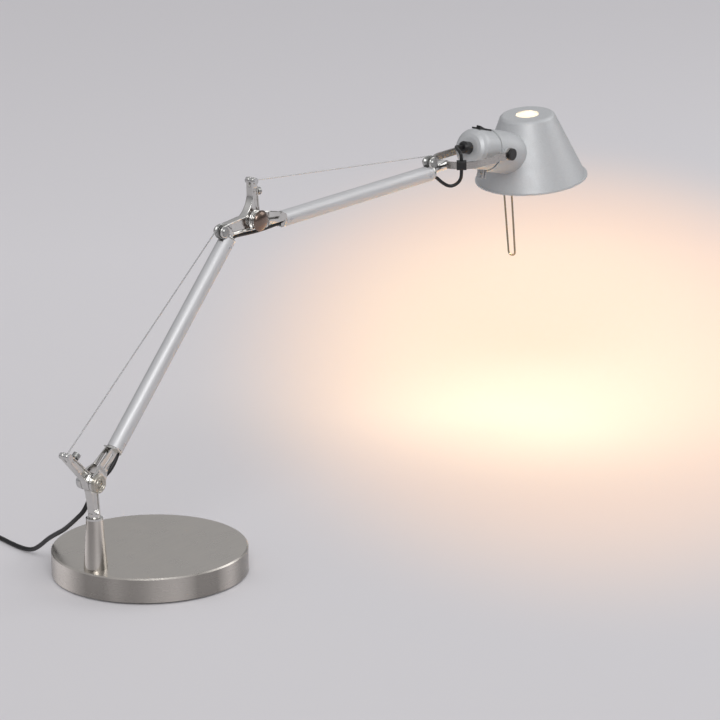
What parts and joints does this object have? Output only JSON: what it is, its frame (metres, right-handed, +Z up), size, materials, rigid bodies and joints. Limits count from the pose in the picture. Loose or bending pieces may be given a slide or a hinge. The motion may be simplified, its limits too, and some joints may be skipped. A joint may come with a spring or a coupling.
{
  "type": "swing arm desk lamp",
  "caption": "Sprung swing-arm desk lamp with a round weighted base, tubular arms with wire-and-lever balancing, a fork-hung conical shade, rocker switch and mains flex.",
  "frame": {"origin": "centre of the round base's underside, on the table", "axes": "+X along the arms towards the lampshade, +Y away from the knobs' side, +Z up"},
  "size_m": [0.7495, 0.348, 0.3214],
  "materials": {
    "rubber_black": "matt black rubber",
    "iron": "rough casting",
    "nickel": "brushed, satin nickel plated",
    "steel": "satin nickel plated",
    "zinc": "bright zinc plated",
    "shade_metal": "brushed, satin nickel plated",
    "black_plastic": "black, half gloss",
    "flex": "smooth black sheath",
    "holder": "pale moulding",
    "brass": "bright",
    "glass": "frosted"
  },
  "bodies": {
    "base": {"base_pad": "rubber_black", "base_weight": "iron", "base_cover": "nickel", "stem_socket": "nickel", "socket_bolt": "zinc", "swivel_bush": "steel", "mains_cord": "flex", "cord_coil": "flex", "plug_body": "black_plastic", "plug_pins": "brass"},
    "bracket": {"lower_bracket": "steel", "lower_tension_wheel": "steel", "joint_cord": "flex"},
    "lower_wire_line": {"lower_wire": "zinc"},
    "lower_arm": {"lower_fork": "steel", "lower_tube": "steel", "lower_grub_screws": "zinc", "lower_spring": "zinc", "lower_wire_tail": "zinc", "lower_pulley_pin": "black_plastic", "elbow_bracket": "steel", "pivot_bolts": "zinc", "pivot_nuts": "steel", "friction_washers": "steel", "lower_pivot_knob": "nickel", "upper_pivot_knob": "nickel", "upper_tension_wheel": "steel", "lower_flex": "flex", "cord_grommet": "rubber_black", "elbow_flex": "flex"},
    "lower_pulley_wheel": {"lower_pulley": "black_plastic"},
    "upper_wire_line": {"upper_wire": "zinc"},
    "upper_arm": {"upper_fork": "steel", "upper_tube": "steel", "upper_grub_screws": "zinc", "upper_spring": "zinc", "upper_wire_tail": "zinc", "upper_pulley_pin": "black_plastic", "arm_end_link": "steel", "upper_flex": "flex", "fork_screw": "zinc", "head_flex_loop": "flex"},
    "upper_pulley_wheel": {"upper_pulley": "black_plastic"},
    "fork": {"head_fork": "steel", "cable_clip": "black_plastic", "head_flex_link": "flex"},
    "head": {"shade_collar": "shade_metal", "lampholder_housing": "shade_metal", "clamp_screw": "zinc", "switch_frame": "black_plastic", "cable_gland": "black_plastic", "lampholder": "holder", "lampholder_contact": "brass", "bulb_cap": "brass", "bulb_glass": "glass", "shade": "shade_metal", "handle_loop": "zinc", "handle_clip": "black_plastic", "pivot_screws": "black_plastic"},
    "rocker": {"switch_rocker": "black_plastic"}
  },
  "joints": [
    {"name": "base_swivel", "type": "hinge", "parent": "base", "child": "bracket", "pos_m": [-0.0695, 0, 0.05], "axis": [0, 0, 1], "range_deg": [-90, 90], "deforming": ["mains_cord", "joint_cord"]},
    {"name": "lower_arm_pivot", "type": "hinge", "parent": "bracket", "child": "lower_arm", "pos_m": [-0.0728, 0, 0.1006], "axis": [0, 1, 0], "range_deg": [-50, 30], "deforming": ["joint_cord", "lower_spring", "lower_wire", "lower_wire_tail"]},
    {"name": "lower_wire_swing", "type": "hinge", "parent": "bracket", "child": "lower_wire_line", "pos_m": [-0.10259, 0, 0.13091], "axis": [0, 1, 0], "range_deg": [-52, 32]},
    {"name": "lower_pulley_turn", "type": "hinge", "parent": "lower_arm", "child": "lower_pulley_wheel", "pos_m": [0.10351, 0, 0.28141], "axis": [0, 1, 0], "range_deg": [-200, 330]},
    {"name": "elbow_pivot", "type": "hinge", "parent": "lower_arm", "child": "upper_arm", "pos_m": [0.14708, 0, 0.28273], "axis": [0, -1, 0], "range_deg": [-60, 45], "deforming": ["elbow_flex", "upper_spring", "upper_wire", "upper_wire_tail"]},
    {"name": "upper_wire_swing", "type": "hinge", "parent": "lower_arm", "child": "upper_wire_line", "pos_m": [0.14498, 0, 0.31807], "axis": [0, -1, 0], "range_deg": [-60, 45]},
    {"name": "upper_pulley_turn", "type": "hinge", "parent": "upper_arm", "child": "upper_pulley_wheel", "pos_m": [0.39959, 0, 0.28353], "axis": [0, -1, 0], "range_deg": [-230, 300]},
    {"name": "fork_swivel", "type": "hinge", "parent": "upper_arm", "child": "fork", "pos_m": [0.43, 0, 0.27716], "axis": [1, 0, -0.0087], "range_deg": [-90, 90], "deforming": ["head_flex_loop"]},
    {"name": "head_tilt", "type": "hinge", "parent": "fork", "child": "head", "pos_m": [0.49164, 0, 0.27663], "axis": [0, -1, 0], "range_deg": [-60, 60], "deforming": ["head_flex_link"]},
    {"name": "switch_rock", "type": "hinge", "parent": "head", "child": "rocker", "pos_m": [0.47889, 0, 0.29826], "axis": [0, 1, 0], "range_deg": [0, 14]}
  ],
  "couplings": [
    {"joint": "lower_wire_swing", "follows": "lower_arm_pivot", "ratio": 1.02},
    {"joint": "lower_pulley_turn", "follows": "lower_arm_pivot", "ratio": -6.2},
    {"joint": "upper_wire_swing", "follows": "elbow_pivot", "ratio": 0.96},
    {"joint": "upper_pulley_turn", "follows": "elbow_pivot", "ratio": -4.7}
  ]
}
